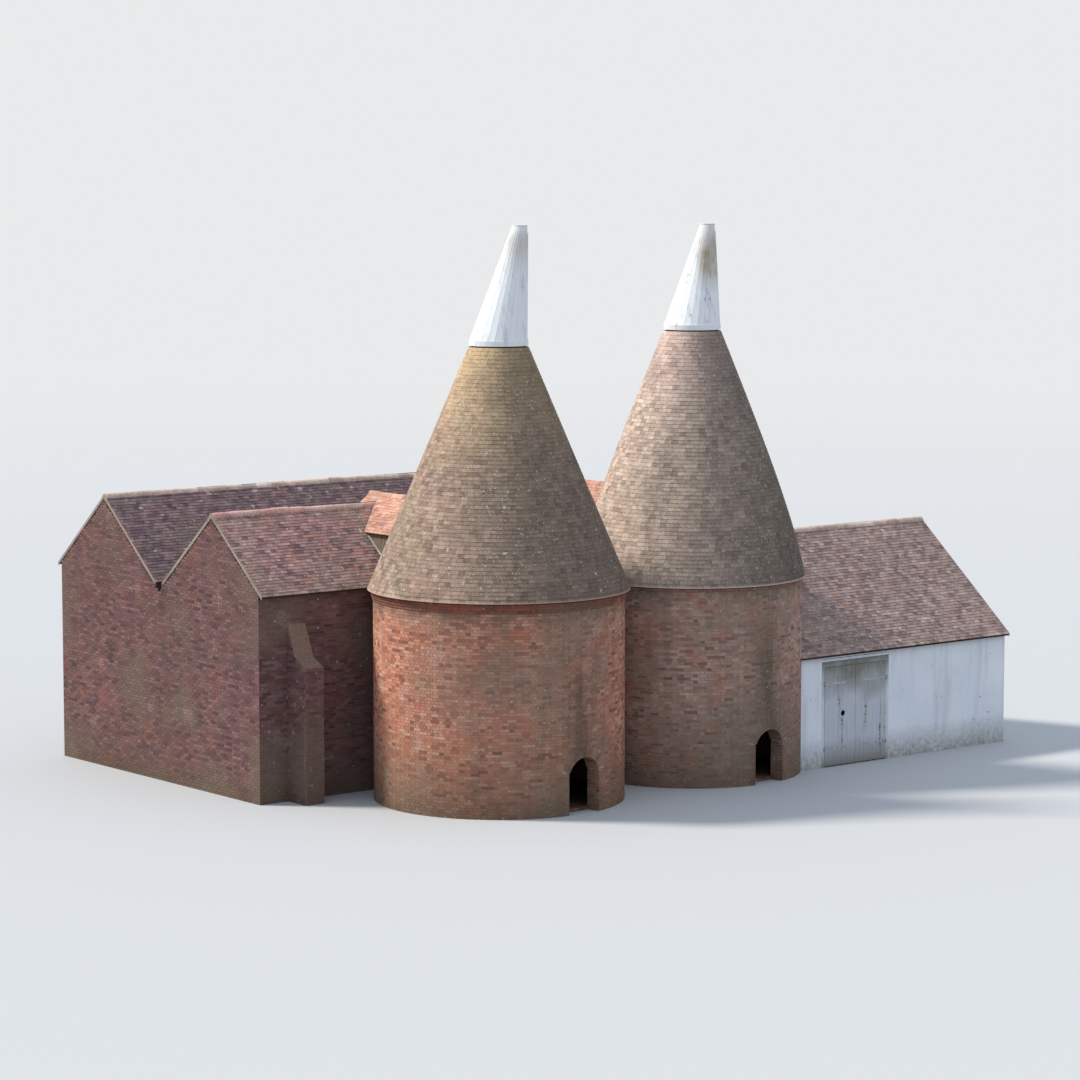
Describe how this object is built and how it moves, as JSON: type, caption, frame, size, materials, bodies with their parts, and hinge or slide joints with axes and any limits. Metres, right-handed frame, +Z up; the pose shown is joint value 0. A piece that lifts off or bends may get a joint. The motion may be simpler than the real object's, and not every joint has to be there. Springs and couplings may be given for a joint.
{
  "type": "oast house with two round kilns and a stowage",
  "caption": "Oast house: round brick kilns with tiled cones and turning white cowls, a double-pile stowage, and a low range with boarded doors.",
  "frame": {"origin": "on the ground, below the middle of the building's box", "axes": "+X along the front to the right, +Y from the kilns back through the stowage, +Z up"},
  "size_m": [20.55, 14.8962, 13.77],
  "materials": {
    "kiln_brick": "hand-made red-orange brick in lime mortar, weathered",
    "stowage_brick": "darker weathered brick in lime mortar",
    "cone_tile": "plain clay tiles, brown-grey with lichen and moss",
    "roof_tile": "plain clay tiles, pinkish brown, lichen",
    "range_tile": "plain clay tiles, pinkish brown",
    "new_tile": "newer orange plain clay tiles",
    "ridge_clay": "half-round clay ridge tiles",
    "floor_brick": "worn brick floor",
    "limewash": "limewashed brick",
    "white_paint": "white-painted softwood boards",
    "door_paint": "grey-white painted boards",
    "cheek_boards": "dark weathered boards",
    "oak": "weathered oak",
    "lead": "weathered lead sheet",
    "iron": "black wrought iron"
  },
  "bodies": {
    "building": {"kiln_1_wall_odd": "kiln_brick", "kiln_1_wall_even": "kiln_brick", "kiln_1_roof_odd": "cone_tile", "kiln_1_roof_even": "cone_tile", "kiln_2_wall_odd": "kiln_brick", "kiln_2_wall_even": "kiln_brick", "kiln_2_roof_odd": "cone_tile", "kiln_2_roof_even": "cone_tile", "draught_arches": "kiln_brick", "corbel_bands": "kiln_brick", "cone_curbs": "oak", "cowl_beams": "oak", "stowage_front_wall": "stowage_brick", "buttress": "stowage_brick", "left_party_wall": "stowage_brick", "stowage_right_wall": "stowage_brick", "stowage_back_wall": "stowage_brick", "front_roof_front_slope": "roof_tile", "front_roof_back_slope": "roof_tile", "back_roof_front_slope": "roof_tile", "back_roof_back_slope": "roof_tile", "valley_gutter": "lead", "valley_beam": "oak", "ridge_tiles": "ridge_clay", "saddle_roofs": "new_tile", "saddle_cheeks": "cheek_boards", "range_front_wall": "limewash", "range_left_wall": "limewash", "range_back_wall": "limewash", "range_party_wall": "limewash", "range_front_slope": "range_tile", "range_back_slope": "range_tile", "brick_floors": "floor_brick", "door_frame": "white_paint", "door_pintles": "iron"},
    "cowl_1": {"cowl_1_boards": "white_paint", "cowl_1_ring": "white_paint", "cowl_1_post": "oak"},
    "cowl_2": {"cowl_2_boards": "white_paint", "cowl_2_ring": "white_paint", "cowl_2_post": "oak"},
    "left_leaf": {"door_left": "door_paint", "door_left_straps": "iron"},
    "right_leaf": {"door_right": "door_paint", "door_right_straps": "iron"}
  },
  "joints": [
    {"name": "cowl_1_turns", "type": "hinge", "parent": "building", "child": "cowl_1", "pos_m": [-5.115, -4.313, 10.87], "axis": [0, 0, 1], "continuous": true},
    {"name": "cowl_2_turns", "type": "hinge", "parent": "building", "child": "cowl_2", "pos_m": [1.015, -4.313, 11.07], "axis": [0, 0, 1], "continuous": true},
    {"name": "left_leaf_swings", "type": "hinge", "parent": "building", "child": "left_leaf", "pos_m": [3.756, -6.335, 1.2], "axis": [0, 0, -1], "range_deg": [0, 110]},
    {"name": "right_leaf_swings", "type": "hinge", "parent": "building", "child": "right_leaf", "pos_m": [5.924, -6.335, 1.2], "axis": [0, 0, 1], "range_deg": [0, 110]}
  ]
}
